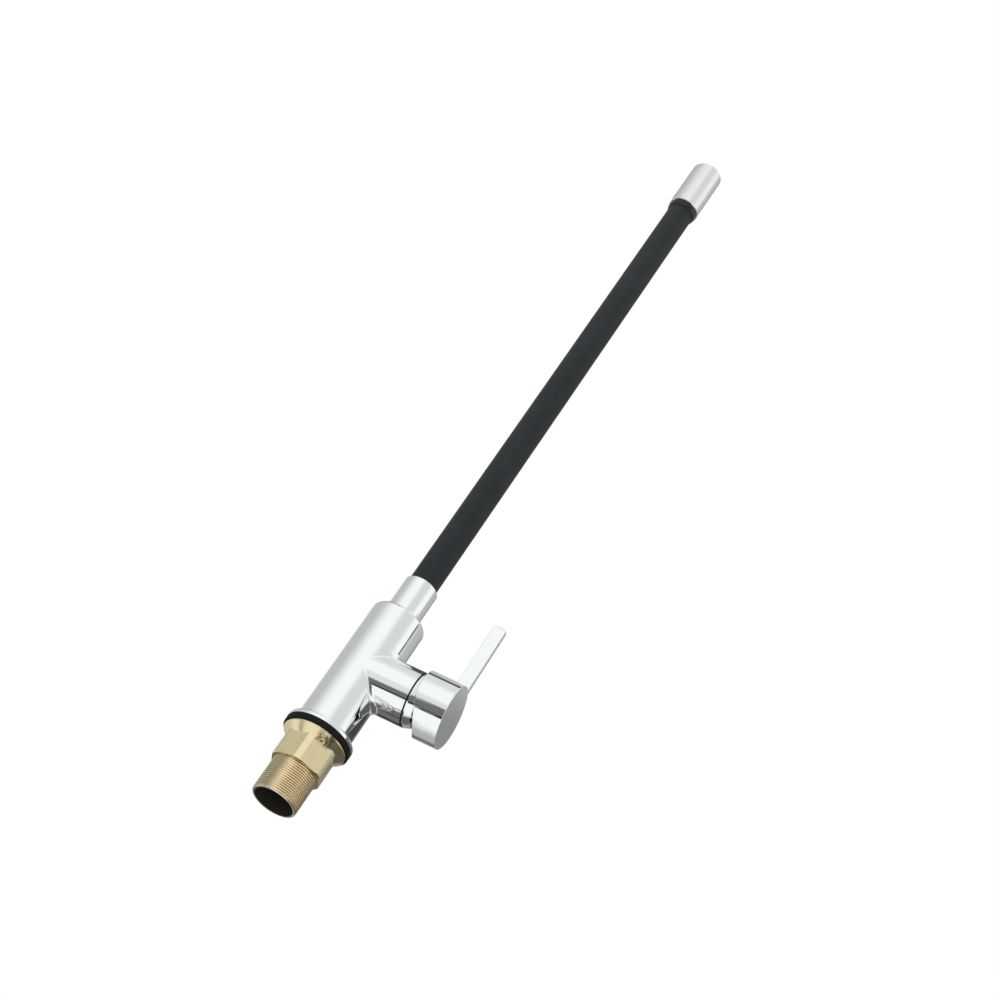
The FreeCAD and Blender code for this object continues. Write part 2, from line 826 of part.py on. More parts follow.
def draw_hexagon(sketch, across_flats, across=0, up=0):
    corner = as_length(across_flats) / math.sqrt(3)
    turns = [math.radians(60 * number) for number in range(6)]
    draw_outline(
        sketch,
        [
            (as_length(across) + corner * math.cos(turn), as_length(up) + corner * math.sin(turn))
            for turn in turns
        ],
    )


def make_grub_screw():
    start = size.spindle_radius - 0.4
    return on_branch(make_set_screw("grub_screw", 2.0, start, start + 10.0, 2.5, SCREW_PLACE))


def make_screw_plug():
    plug = new_body("screw_plug")
    section = new_sketch(plug, "YZ_Plane", up=SCREW_PLACE, out=size.hub_radius - 3.2)
    draw_circles(section, (0, 0, 2.0))
    padded(plug, section, 3.1)
    return on_branch(plug)


# Spout collar and hose


def make_spout_collar():
    """Chromed collar with the swivelling stem, its two seal grooves and its retaining groove."""
    stem = size.swivel_radius
    floor = size.swivel_radius - 1.4
    low = size.swivel_floor + 1.5
    shoulder = size.barrel_top + 0.1
    collar = turned(
        "spout_collar",
        [
            (5.5, low),
            (stem, low),
            (stem, shoulder),
            (size.collar_radius, shoulder),
            (size.collar_radius, size.collar_top),
            (size.hose_radius + 0.1, size.collar_top),
            (size.hose_radius + 0.1, size.collar_floor),
            (5.5, size.collar_floor),
        ],
    )
    softened(collar, 0.5, rim(size.collar_radius, size.collar_top))
    for middle in (size.retainer_height, *seal_heights()):
        half = 1.4 if middle is size.retainer_height else 1.0
        grooved(
            collar,
            [
                (floor, middle - half),
                (stem + 1.0, middle - half),
                (stem + 1.0, middle + half),
                (floor, middle + half),
            ],
        )
    return collar


def seal_heights():
    return [size.barrel_top - 12.0, size.barrel_top - 6.0]


def make_collar_seals():
    rings = [
        upright_ring(
            "collar_seal_%d" % n,
            size.swivel_radius + 0.02,
            size.swivel_radius - 1.4,
            middle - 0.9,
            middle + 0.9,
        )
        for n, middle in enumerate(seal_heights(), 1)
    ]
    return grouped("collar_seals", rings)


def make_slip_ring():
    low = size.swivel_floor
    return turned(
        "slip_ring",
        [(5.6, low), (size.swivel_radius, low), (size.swivel_radius, low + 1.4), (5.6, low + 1.4)],
    )


def make_swivel_screw():
    """Retaining screw whose plain tip runs in the groove of the spout's stem."""
    back = -size.barrel_radius + 0.4
    shoulder = -(size.swivel_radius + 0.1)
    screw = new_body("swivel_screw")
    section = new_sketch(screw, "YZ_Plane", up=size.retainer_height, out=back)
    draw_circles(section, (0, 0, 2.0))
    padded(screw, section, shoulder - back)
    point = new_sketch(screw, "YZ_Plane", up=size.retainer_height, out=shoulder)
    draw_circles(point, (0, 0, 1.2))
    padded(screw, point, 1.1)
    socket = new_sketch(screw, "YZ_Plane", up=size.retainer_height, out=back)
    draw_hexagon(socket, 2.0)
    pocketed(screw, socket, 2.5, forwards=True)
    return screw


def socket_edges(centre, outside):
    """Corners of a socket's end, from its outer wall over the rim and down to the water way."""
    reach = size.ball_radius + size.ball_gap
    return [
        (outside, centre + size.socket_rise),
        (leg(reach, size.socket_rise), centre + size.socket_rise, centre),
        (size.link_bore, centre - leg(reach, size.link_bore)),
    ]


def ball_edges():
    """Corners of a ball end about the part's own origin, from the water way to the shoulder."""
    return [
        (size.link_bore, -leg(size.ball_radius, size.link_bore), 0),
        (size.neck_radius, leg(size.ball_radius, size.neck_radius)),
        (size.neck_radius, size.neck_rise),
        (size.link_radius, size.neck_rise),
    ]


def barbs(start, count, step=3.0):
    """Saw-tooth ridges that grip the sleeve from inside, rising along the part."""
    crest = size.hose_bore - 0.05
    edges = []
    for number in range(count):
        low = as_length(start) + step * number
        edges += [(crest, low), (crest, low + 0.6), (size.link_radius, low + step)]
    return edges


def make_core_root():
    """Fitting screwed into the collar: the sleeve grips its barbs, the first ball sits on top."""
    first = bend_height(1)
    barb_start = size.collar_floor + 3.0
    return turned(
        "core_root",
        [
            (size.link_bore, size.collar_floor - 7.0),
            (5.45, size.collar_floor - 7.0),
            (5.45, size.collar_floor),
            (size.link_radius, size.collar_floor),
            (size.link_radius, barb_start),
            *barbs(barb_start, 3),
            *socket_edges(first, size.link_radius),
        ],
    )


def make_core_link(number):
    """One link of the stay-put core: a ball below, a socket for the next ball above."""
    link = turned(
        "core_link_%d" % number,
        [*ball_edges(), *socket_edges(BEND_STEP, size.link_radius)],
    )
    return raised(link, bend_height(number))


def make_core_tip():
    """Top fitting: ball below, barbs for the sleeve, flange and thread for the outlet."""
    last = bend_height(HOSE_BENDS)
    flange = CAP_FOOT - 1.8 - last
    thread = CAP_FOOT - last
    top = thread + 14.0
    barb_start = HOSE_END - last - 14.0
    tip = turned(
        "core_tip",
        [
            *ball_edges(),
            (size.link_radius, barb_start),
            *barbs(barb_start, 3),
            (size.link_radius, flange),
            (9.6, flange),
            (9.6, thread),
            (8.0, thread),
            (8.0, top),
            (size.link_bore, top),
        ],
    )
    return raised(tip, last)


def make_hose_sleeve():
    low = size.collar_floor + 0.2
    top = CAP_FOOT - 2.2
    return turned(
        "hose_sleeve",
        [
            (size.hose_bore, low),
            (size.hose_radius, low),
            (size.hose_radius, top),
            (size.hose_bore, top),
        ],
    )


def make_water_tube():
    low = size.collar_floor - 6.0
    top = CAP_FOOT + 12.0
    return turned(
        "water_tube",
        [
            (size.tube_bore, low),
            (size.tube_radius, low),
            (size.tube_radius, top),
            (size.tube_bore, top),
        ],
    )


# Outlet


def make_end_collar():
    """Black ring between sleeve and outlet, swelling from the sleeve to its full radius."""
    bore = size.hose_radius + 0.08
    foot = size.hose_radius + 0.2
    swell = size.end_collar_radius - foot
    full = HOSE_END + size.end_collar_swell
    arc = (size.end_collar_swell * size.end_collar_swell + swell * swell) / (swell * 2)
    collar = turned(
        "end_collar",
        [
            (bore, HOSE_END),
            (foot, HOSE_END, (size.end_collar_radius - arc, full)),
            (size.end_collar_radius, full),
            (size.end_collar_radius, CAP_FOOT),
            (bore, CAP_FOOT),
        ],
    )
    softened(collar, 0.4, rim(size.end_collar_radius, CAP_FOOT), "PartDesign::Chamfer")
    return collar


AERATOR_SEAT = size.overall_height - 19.0


def make_outlet_cap():
    """Chromed sleeve: threaded foot for the core, water space, and the aerator's wide bore."""
    cap = turned(
        "outlet_cap",
        [
            (8.05, CAP_FOOT),
            (size.cap_radius, CAP_FOOT),
            (size.cap_radius, size.overall_height),
            (10.6, size.overall_height),
            (10.6, AERATOR_SEAT),
            (8.6, AERATOR_SEAT),
            (8.6, CAP_FOOT + 15.0),
            (8.05, CAP_FOOT + 15.0),
        ],
    )
    softened(cap, 0.8, rim(size.cap_radius, size.overall_height))
    softened(cap, 0.5, rim(size.cap_radius, CAP_FOOT), "PartDesign::Chamfer")
    return cap


def make_aerator_washer():
    low = AERATOR_SEAT
    return turned("aerator_washer", [(8.2, low), (10.5, low), (10.5, low + 2.0), (8.2, low + 2.0)])


def make_aerator_strainer():
    low = AERATOR_SEAT + 2.0
    strainer = turned(
        "aerator_strainer", [(0, low), (10.4, low), (10.4, low + 1.0), (0, low + 1.0)]
    )
    holes = new_sketch(strainer, "XY_Plane", out=low + 1.0)
    draw_circles(holes, (4.6, 0, 1.6))
    repeated(strainer, pocketed(strainer, holes, 1.0), 6)
    return strainer


def make_aerator_core():
    """Plastic insert whose outer face is a honeycomb of nineteen cells."""
    low = AERATOR_SEAT + 3.0
    step = size.overall_height - 5.0
    face = size.overall_height - 3.0
    grid = 2.2
    core = turned(
        "aerator_core",
        [
            (9.2, low),
            (10.4, low),
            (10.4, step),
            (8.9, step),
            (8.9, face),
            (0, face),
            (0, face - grid),
            (9.2 - 1.6, face - grid),
            (9.2, face - grid - 1.6),
        ],
    )
    pitch = 3.3
    cell = 2.7
    outer_row = pitch * math.sqrt(3)
    for across, up in ((0, 0), (pitch, 0), (2 * pitch, 0), (outer_row * 0.866025, outer_row / 2)):
        sketch = new_sketch(core, "XY_Plane", out=face)
        draw_hexagon(sketch, cell, across, up)
        pocket = pocketed(core, sketch, grid + 0.1)
        if across:
            repeated(core, pocket, 6)
    return core


def make_aerator_ring():
    """Chromed ring that holds the aerator in the mouth of the outlet."""
    low = size.overall_height - 5.0
    top = size.overall_height - 0.4
    ring = turned("aerator_ring", [(9.0, low), (10.55, low), (10.55, top), (9.0, top)])
    softened(ring, 0.4, rim(9.0, top), "PartDesign::Chamfer")
    return ring


PARTS = [
    make_body(),
    make_base_gasket(),
    make_threaded_shank(),
    make_shank_seal(),
    make_locknut(),
    make_base_seals(),
    make_cartridge_base(),
    make_fixed_disc(),
    make_moving_disc(),
    make_disc_carrier(),
    make_cartridge_housing(),
    make_cartridge_collar(),
    make_pivot_pin(),
    make_spindle(),
    make_cartridge_nut(),
    make_branch_seal(),
    make_cover_ring(),
    make_handle(),
    make_grub_screw(),
    make_screw_plug(),
    make_spout_collar(),
    make_collar_seals(),
    make_slip_ring(),
    make_swivel_screw(),
    make_core_root(),
    *[make_core_link(number) for number in range(1, HOSE_BENDS)],
    make_core_tip(),
    make_hose_sleeve(),
    make_water_tube(),
    make_end_collar(),
    make_outlet_cap(),
    make_aerator_washer(),
    make_aerator_strainer(),
    make_aerator_core(),
    make_aerator_ring(),
]


def check_document():
    """Every object has to be up to date, and every part's shape whole and valid."""
    doc.recompute()
    for thing in doc.Objects:
        if "Invalid" in thing.State or "Error" in thing.State:
            raise RuntimeError("%s failed: %s" % (thing.Name, thing.State))
    for part in PARTS:
        if part.Shape.isNull() or not part.Shape.isValid():
            raise RuntimeError(part.Label + " has no valid shape")


check_document()
os.makedirs("parts", exist_ok=True)
for part in PARTS:
    part.Shape.exportStep("parts/%s.step" % part.Label)
    print("%s: %d solid(s), %.1f mm3" % (part.Label, len(part.Shape.Solids), part.Shape.Volume))
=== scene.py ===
import json
import math
from typing import NamedTuple

import bpy
import numpy as np
from mathutils import Matrix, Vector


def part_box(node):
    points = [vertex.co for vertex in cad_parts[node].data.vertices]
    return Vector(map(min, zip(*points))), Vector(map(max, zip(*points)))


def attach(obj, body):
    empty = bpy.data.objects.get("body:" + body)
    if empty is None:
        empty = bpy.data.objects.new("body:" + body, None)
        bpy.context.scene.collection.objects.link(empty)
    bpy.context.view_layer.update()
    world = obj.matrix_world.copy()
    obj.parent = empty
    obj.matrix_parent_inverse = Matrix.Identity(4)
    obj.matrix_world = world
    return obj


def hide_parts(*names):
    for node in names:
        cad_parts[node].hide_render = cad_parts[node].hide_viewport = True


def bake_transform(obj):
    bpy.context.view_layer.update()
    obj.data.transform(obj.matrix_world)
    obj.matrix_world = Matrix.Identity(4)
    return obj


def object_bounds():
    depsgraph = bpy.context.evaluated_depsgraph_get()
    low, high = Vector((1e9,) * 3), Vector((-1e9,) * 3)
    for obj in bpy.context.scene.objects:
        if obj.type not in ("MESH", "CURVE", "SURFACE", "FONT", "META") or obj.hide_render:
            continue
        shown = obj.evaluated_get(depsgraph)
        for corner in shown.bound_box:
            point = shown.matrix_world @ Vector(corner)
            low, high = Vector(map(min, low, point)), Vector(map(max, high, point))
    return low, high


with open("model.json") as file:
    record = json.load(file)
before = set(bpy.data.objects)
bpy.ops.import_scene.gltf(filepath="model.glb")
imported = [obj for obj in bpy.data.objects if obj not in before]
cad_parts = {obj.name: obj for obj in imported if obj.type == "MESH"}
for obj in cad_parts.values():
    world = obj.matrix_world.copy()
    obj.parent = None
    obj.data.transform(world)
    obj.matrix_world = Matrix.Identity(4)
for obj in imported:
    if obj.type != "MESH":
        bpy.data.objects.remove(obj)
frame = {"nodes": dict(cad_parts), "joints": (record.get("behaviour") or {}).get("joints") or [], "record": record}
CAD_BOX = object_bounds()

bl_info = {
    "name": "Kitchen mixer tap",
    "version": (1, 0, 0),
    "blender": (4, 5, 0),
    "location": "3D View > Sidebar > Mixer tap",
    "description": "Finishes, thread, bendable hose and studio of a single-lever kitchen mixer tap",
    "category": "Object",
}

# The frame is in metres: Z runs up the barrel and the hose, X along the valve branch.
NODES = frame["nodes"]
JOINTS = {joint["name"]: joint for joint in frame["joints"]}
BEND_JOINTS = [name for name in JOINTS if name.startswith("hose_bend_")]
COLOURS = {m["slot"]: tuple(m["base_color"][:3]) for m in frame["record"]["materials"]}

CHROMED = ["body", "cover_ring", "handle", "spout_collar", "aerator_ring"]
RUBBER_SEALS = [
    "base_gasket",
    "shank_seal",
    "base_seals",
    "branch_seal",
    "collar_seals",
    "aerator_washer",
]
MOULDED_GREY = ["cartridge_base", "cartridge_housing", "screw_plug"]
MOULDED_WHITE = ["cartridge_collar", "disc_carrier", "slip_ring", "aerator_core"]
CERAMIC_DISCS = ["fixed_disc", "moving_disc"]
INNER_BRASS = ["spindle", "cartridge_nut", "core_root", "core_tip"]
CORE_LINKS = [name for name in NODES if name.startswith("core_link_")]
STEEL_PARTS = ["pivot_pin", "grub_screw", "swivel_screw", "aerator_strainer"] + CORE_LINKS


# Surfaces

SHARP_EDGE = math.radians(50)
# the flat shares of a thread's pitch
CREST_FLAT = 0.125
ROOT_FLAT = 0.25
# ring spacing on a bore that neither bends nor has a thread, in metres
PLAIN_BORE_STEP = 0.005


def radial_span(node):
    """The smallest and largest distance of a node's vertices from the Z axis, in metres."""
    places = np.zeros(len(NODES[node].data.vertices) * 3, np.float32)
    NODES[node].data.vertices.foreach_get("co", places)
    reach = np.hypot(places[0::3], places[1::3])
    return float(reach.min()), float(reach.max())


def closed_surface(name, places, along):
    """A mesh over a grid of points that closes on itself both ways, like the skin of a ring.

    Row i and column j give the point places[i, j]. The UV map holds the turn about the axis,
    j over the number of columns, and the length along the outline, along[i], in metres.
    """
    rows, columns = places.shape[:2]
    here = np.arange(rows * columns).reshape(rows, columns)
    beside = np.roll(here, -1, axis=1)
    above, opposite = np.roll(here, -1, axis=0), np.roll(beside, -1, axis=0)
    faces = np.stack([here, beside, opposite, above], axis=-1)
    mesh = bpy.data.meshes.new(name)
    mesh.from_pydata(places.reshape(-1, 3).tolist(), [], faces.reshape(-1, 4).tolist())
    turn = np.arange(columns + 1) / columns
    travel = np.append(along, along[-1])
    corner_turns = np.stack([turn[:-1], turn[1:], turn[1:], turn[:-1]], axis=-1)
    corner_travel = np.stack([travel[:-1], travel[:-1], travel[1:], travel[1:]], axis=-1)
    uv = np.empty((rows, columns, 4, 2), np.float32)
    uv[..., 0] = corner_turns[None, :, :]
    uv[..., 1] = corner_travel[:, None, :]
    mesh.uv_layers.new(name="turn_and_length").data.foreach_set("uv", uv.ravel())
    mesh.shade_smooth()
    mesh.set_sharp_from_angle(angle=SHARP_EDGE)
    piece = bpy.data.objects.new(name, mesh)
    bpy.context.scene.collection.objects.link(piece)
    return piece


def equal_steps(low, high, step):
    """Heights from low to high, in equal steps of about the given size."""
    return np.linspace(low, high, max(2, int(round((high - low) / step)) + 1))


def wall_profile(outer, inner, low, high, step, bore_step):
    """The closed outline of a tube's wall as radii and heights: up the outside in equal steps,
    across the top, down the bore in equal steps of its own and back across the bottom."""
    outside, bore = equal_steps(low, high, step), equal_steps(low, high, bore_step)[::-1]
    radii = np.concatenate([np.full(len(outside), outer), np.full(len(bore), inner)])
    return radii, np.concatenate([outside, bore])


def with_neck(radii, heights, tuck, neck):
    """Adds a neck on top of a tube's outline, thinner by the tuck, that runs under the next
    length and closes the seam which a bend opens between the two."""
    top = len(radii) // 2
    thinner = radii[0] - tuck
    radii = np.insert(radii, top, [thinner, thinner])
    heights = np.insert(heights, top, [heights[top - 1], heights[top - 1] + neck])
    return radii, heights


def travelled(radii, heights):
    """The length along an outline up to each of its points, from the height of the first."""
    steps = np.hypot(np.diff(radii), np.diff(heights))
    return heights[0] + np.concatenate([[0.0], np.cumsum(steps)])


def turned_surface(name, radii, heights, columns):
    """Turns an outline about the Z axis: the point at turn t is (r cos t, r sin t, z)."""
    turn = np.linspace(0, math.tau, columns, endpoint=False)
    if radii.ndim == 1:
        radii = np.repeat(radii[:, None], columns, axis=1)
    places = np.empty(radii.shape + (3,))
    places[..., 0] = radii * np.cos(turn)
    places[..., 1] = radii * np.sin(turn)
    places[..., 2] = heights[:, None]
    return closed_surface(name, places, travelled(radii[:, 0], heights))


def thread_depth(turn, height, pitch):
    """How deep a screw thread is cut, from 0 on the crest to 1 in the root.

    With p the fraction of (height / pitch - turn / full turn), the distance from the crest is
    w = 1 - |2p - 1|. The depth is flat on the crest and in the root, and straight in between.
    """
    phase = (height / pitch - turn / math.tau) % 1.0
    from_crest = 1.0 - np.abs(2.0 * phase - 1.0)
    return np.clip((from_crest - CREST_FLAT) / (1.0 - CREST_FLAT - ROOT_FLAT), 0.0, 1.0)


# Materials


class Nodes:
    """Adds shader nodes to a tree, and sets or links their inputs."""

    def __init__(self, tree):
        self.tree = tree

    def node(self, kind, inputs=None, **options):
        """Adds a node, sets its options and feeds its inputs."""
        node = self.tree.nodes.new(kind)
        for option, value in options.items():
            setattr(node, option, value)
        for socket, value in (inputs or {}).items():
            self.feed(node.inputs[socket], value)
        return node

    def feed(self, socket, value):
        if isinstance(value, bpy.types.NodeSocket):
            self.tree.links.new(value, socket)
        else:
            socket.default_value = value

    def coordinates(self, which="Object"):
        return self.node("ShaderNodeTexCoord").outputs[which]

    def parts(self, vector):
        """The outputs X, Y and Z of a vector."""
        return self.node("ShaderNodeSeparateXYZ", {"Vector": vector}).outputs

    def calculate(self, operation, *values):
        inputs = dict(enumerate(values))
        return self.node("ShaderNodeMath", inputs, operation=operation).outputs["Value"]

    def ranged(self, value, start, stop, low=0.0, high=1.0):
        """Maps a value that runs from start to stop onto low to high, smoothly."""
        names = ("Value", "From Min", "From Max", "To Min", "To Max")
        inputs = dict(zip(names, (value, start, stop, low, high)))
        node = self.node("ShaderNodeMapRange", inputs, interpolation_type="SMOOTHSTEP")
        return node.outputs["Result"]

    def mixed(self, amount, first, second, kind="RGBA"):
        """A colour between two others, or a number between two others with the kind FLOAT."""
        inputs = {"Factor": amount, "A": first, "B": second}
        return self.node("ShaderNodeMix", inputs, data_type=kind).outputs["Result"]


class Recipe(Nodes):
    """A material that is being put together, with the surface shader at its end."""

    def __init__(self, name, **constants):
        self.material = bpy.data.materials.new(name)
        self.material.use_nodes = True
        super().__init__(self.material.node_tree)
        self.surface = self.tree.nodes["Principled BSDF"]
        for socket, value in constants.items():
            self.set(socket.replace("_", " "), value)

    def set(self, socket, value):
        self.feed(self.surface.inputs[socket], value)

    def stretched(self, vector, scale):
        inputs = {"Vector": vector, "Scale": scale}
        return self.node("ShaderNodeMapping", inputs).outputs["Vector"]

    def noise(self, vector, scale, detail=2.0, distortion=0.0):
        inputs = {"Vector": vector, "Scale": scale, "Detail": detail, "Distortion": distortion}
        return self.node("ShaderNodeTexNoise", inputs).outputs["Fac"]

    def bump(self, height, depth, strength):
        """Raises the surface by the height, from 0 to 1, times a depth in metres."""
        inputs = {"Height": height, "Distance": depth, "Strength": strength}
        return self.node("ShaderNodeBump", inputs).outputs["Normal"]

    def from_axis(self, parts):
        """The distance from the Z axis, the root of x squared plus y squared."""
        across = self.calculate("MULTIPLY", parts["X"], parts["X"])
        deep = self.calculate("MULTIPLY", parts["Y"], parts["Y"])
        return self.calculate("SQRT", self.calculate("ADD", across, deep))

    def turning_marks(self, spacing):
        """Fine grooves that run round the Z axis, as a lathe tool leaves them: noise over the
        distance from the axis and the height, the same at every turn."""
        parts = self.parts(self.coordinates())
        inputs = {"X": self.from_axis(parts), "Z": parts["Z"]}
        profile = self.node("ShaderNodeCombineXYZ", inputs).outputs["Vector"]
        return self.noise(profile, 1.0 / spacing, detail=1.0)


def solid(colour, level=1.0):
    """A colour with full opacity, its parts multiplied by the level."""
    return (*(level * part for part in colour), 1.0)


def polished_chrome(finishes):
    """Mirror-bright plating with a trace of handling haze and the casting's faint waviness."""
    recipe = Recipe("polished_chrome", Metallic=1.0, Base_Color=solid(finishes.chrome))
    place = recipe.coordinates()
    haze = recipe.noise(place, scale=70.0, detail=3.0, distortion=0.6)
    least, most = finishes.chrome_roughness, 0.085
    recipe.set("Roughness", recipe.ranged(haze, 0.35, 0.75, least, most))
    waves = recipe.noise(place, scale=45.0, detail=1.0)
    recipe.set("Normal", recipe.bump(waves, depth=0.00002, strength=0.6))
    return recipe.material


def satin_chrome(finishes):
    """Soft plating of the outlet sleeve, brushed round its axis."""
    recipe = Recipe("satin_chrome", Metallic=1.0)
    marks = recipe.turning_marks(spacing=0.00035)
    cloud = recipe.noise(recipe.coordinates(), scale=60.0)
    darker = solid(finishes.satin, level=0.93)
    recipe.set("Base Color", recipe.mixed(cloud, darker, solid(finishes.satin)))
    recipe.set("Roughness", recipe.ranged(marks, 0.2, 0.8, low=0.24, high=0.36))
    recipe.set("Normal", recipe.bump(marks, depth=0.000012, strength=0.5))
    return recipe.material


def nut_brass(finishes):
    """Bright turned brass with faint dull stains all over, and a dark greenish patch on one side of the cone under
    the flange that is partly tarnish and partly painted shade.
    """
    recipe = Recipe("nut_brass", Metallic=1.0)
    place = recipe.coordinates()
    parts = recipe.parts(place)
    # the cone ends 0.36 of the way from the deck down to the nut's lower end
    cone_foot = 0.36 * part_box("locknut")[0].z
    on_cone = recipe.ranged(parts["Z"], cone_foot, 0.7 * cone_foot)
    turn = recipe.calculate("ARCTAN2", parts["Y"], parts["X"])
    from_middle = recipe.calculate("ADD", turn, finishes.stain_and_shade_turn)
    aside = recipe.calculate("ABSOLUTE", from_middle)
    one_side = recipe.ranged(aside, 0.15, 0.4, low=1.0, high=0.0)
    specks = recipe.noise(place, scale=260.0, detail=4.0, distortion=1.2)
    ragged = recipe.ranged(specks, 0.36, 0.56, low=0.25)
    # partly tarnish, partly painted shade: the patch darkens the cone's one side just under the flange, where
    # shade falls
    on_one_side = recipe.calculate("MULTIPLY", on_cone, one_side)
    tarnish_and_shade_patch = recipe.calculate("MULTIPLY", on_one_side, ragged)
    faint = recipe.ranged(recipe.noise(place, scale=190.0, detail=3.0), 0.5, 0.8, high=0.16)
    stains_and_shade = recipe.calculate("MAXIMUM", tarnish_and_shade_patch, faint)
    recipe.set("Base Color", recipe.mixed(stains_and_shade, solid(finishes.nut), solid(finishes.nut_stain_and_shade)))
    marks = recipe.turning_marks(spacing=0.0003)
    recipe.set("Roughness", recipe.ranged(marks, 0.2, 0.8, low=0.20, high=0.27))
    recipe.set("Normal", recipe.bump(marks, depth=0.000006, strength=0.5))
    return recipe.material


def shank_brass(finishes, root_depth):
    """Reddish brass of the threaded shank: painted shade in the thread's roots, which gives way to an even
    olive tarnish towards one side, a rim worn pale at the lower end and a bore dull with oxide."""
    recipe = Recipe("shank_brass")
    place = recipe.coordinates()
    parts = recipe.parts(place)
    reach = recipe.from_axis(parts)
    inner, outer = radial_span("threaded_shank")
    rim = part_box("threaded_shank")[0].z
    unshaded_depth = 0.00055
    rim_fades, rim_full = 0.0009, 0.0004
    bore_fades, bore_full = 0.0006, 0.0002

    # painted shade: the thread darkens towards the root colour from this depth down into the roots, less on the
    # tarnished side
    crest = recipe.ranged(reach, outer - root_depth, outer - unshaded_depth)
    angle = finishes.tarnish_turn
    side = (math.cos(angle) / outer, math.sin(angle) / outer, 0.0)
    # -1 to 1 across the shank, from the clean side to the tarnished one
    dot = recipe.node("ShaderNodeVectorMath", {0: place, 1: side}, operation="DOT_PRODUCT")
    towards = dot.outputs["Value"]
    unshaded = recipe.calculate("MAXIMUM", crest, recipe.ranged(towards, 0.1, 0.65, high=0.75))
    thread = recipe.mixed(unshaded, solid(finishes.shank_root_shade), solid(finishes.shank))

    cloud = recipe.noise(place, scale=110.0, detail=3.0, distortion=0.8)
    clouded = recipe.mixed(
        recipe.ranged(cloud, 0.45, 0.75, high=0.4), thread, solid(finishes.shank, level=0.8)
    )
    skin = recipe.mixed(
        recipe.ranged(towards, 0.5, 0.9), clouded, solid(finishes.shank_tarnish)
    )
    worn = recipe.ranged(parts["Z"], rim + rim_fades, rim + rim_full)
    with_rim = recipe.mixed(worn, skin, solid(finishes.shank_rim))
    bore = recipe.ranged(reach, inner + bore_fades, inner + bore_full)
    recipe.set("Base Color", recipe.mixed(bore, with_rim, solid(finishes.shank_bore)))

    recipe.set("Metallic", recipe.calculate("SUBTRACT", 1.0, bore))
    recipe.set("Roughness", recipe.ranged(cloud, 0.3, 0.8, low=0.20, high=0.34))
    grain = recipe.noise(place, scale=2600.0)
    recipe.set("Normal", recipe.bump(grain, depth=0.00002, strength=0.6))
    return recipe.material


def moulded_rubber(name, colour, roughness):
    """Matte rubber with the fine grain of its mould and a little dust."""
    recipe = Recipe(name, Specular_IOR_Level=0.12)
    place = recipe.coordinates()
    specks = recipe.noise(place, scale=160.0, detail=4.0, distortion=0.5)
    dusty = tuple(part + 0.006 for part in colour)
    dust = recipe.ranged(specks, 0.5, 0.85)
    recipe.set("Base Color", recipe.mixed(dust, solid(colour), solid(dusty)))
    grain = recipe.noise(place, scale=3200.0)
    spread = 0.06
    recipe.set(
        "Roughness", recipe.ranged(grain, 0.3, 0.7, roughness - spread, roughness + spread)
    )
    recipe.set("Normal", recipe.bump(grain, depth=0.00003, strength=0.5))
    return recipe.material


def hose_rubber(finishes):
    """Smooth charcoal silicone with faint draw lines along the hose, which follow its bends."""
    recipe = Recipe("hose_rubber", Specular_IOR_Level=finishes.hose_gloss)
    along = recipe.coordinates("UV")
    lines = recipe.noise(recipe.stretched(along, (90.0, 14.0, 1.0)), scale=1.0)
    clouds = recipe.stretched(along, (6.0, 60.0, 1.0))
    cloud = recipe.noise(clouds, scale=1.0, detail=3.0, distortion=0.4)
    paler = solid(finishes.hose, level=1.25)
    pale = recipe.ranged(cloud, 0.35, 0.75)
    recipe.set("Base Color", recipe.mixed(pale, solid(finishes.hose), paler))
    recipe.set("Roughness", recipe.ranged(lines, 0.3, 0.7, low=0.42, high=0.52))
    recipe.set("Normal", recipe.bump(lines, depth=0.00002, strength=0.4))
    return recipe.material


def moulded_plastic(name, colour, roughness, gloss=0.5):
    """Moulded plastic: one colour with a slight cloud, and a fine mould texture."""
    recipe = Recipe(name, Specular_IOR_Level=gloss)
    place = recipe.coordinates()
    cloud = recipe.noise(place, scale=120.0)
    recipe.set("Base Color", recipe.mixed(cloud, solid(colour, level=0.9), solid(colour)))
    texture = recipe.noise(place, scale=900.0)
    recipe.set("Roughness", recipe.ranged(texture, 0.3, 0.7, *roughness))
    recipe.set("Normal", recipe.bump(texture, depth=0.00001, strength=0.4))
    return recipe.material


def lapped_ceramic(colour):
    """Ceramic, lapped to a sheen, with speckles a little darker than the rest."""
    recipe = Recipe("lapped_ceramic")
    specks = recipe.noise(recipe.coordinates(), scale=1400.0)
    most = 0.3
    speckle = recipe.ranged(specks, 0.55, 0.75, high=most)
    recipe.set("Base Color", recipe.mixed(speckle, solid(colour), solid(colour, level=0.7)))
    recipe.set("Roughness", recipe.ranged(speckle, 0.0, most, low=0.16, high=0.3))
    return recipe.material


def turned_metal(name, colour, spacing, roughness):
    """Machined metal with the grooves of the lathe round its axis."""
    recipe = Recipe(name, Metallic=1.0)
    marks = recipe.turning_marks(spacing)
    recipe.set("Base Color", recipe.mixed(marks, solid(colour, level=0.85), solid(colour)))
    recipe.set("Roughness", recipe.ranged(marks, 0.2, 0.8, *roughness))
    recipe.set("Normal", recipe.bump(marks, depth=0.00002, strength=0.5))
    return recipe.material


def dress(names, material):
    """Gives nodes of the frame a material in place of their own."""
    for name in names:
        slots = NODES[name].material_slots
        if not slots:
            NODES[name].data.materials.append(material)
        for slot in slots:
            slot.material = material


def coat(piece, material):
    """Gives a new piece its material."""
    piece.data.materials.append(material)


# Settings


def colour_setting(name, description, default):
    return bpy.props.FloatVectorProperty(
        name=name,
        description=description,
        subtype="COLOR",
        size=3,
        min=0.0,
        max=1.0,
        default=default,
    )


def length_setting(name, description, default):
    return bpy.props.FloatProperty(
        name=name, description=description, default=default, min=0.0, unit="LENGTH", precision=5
    )


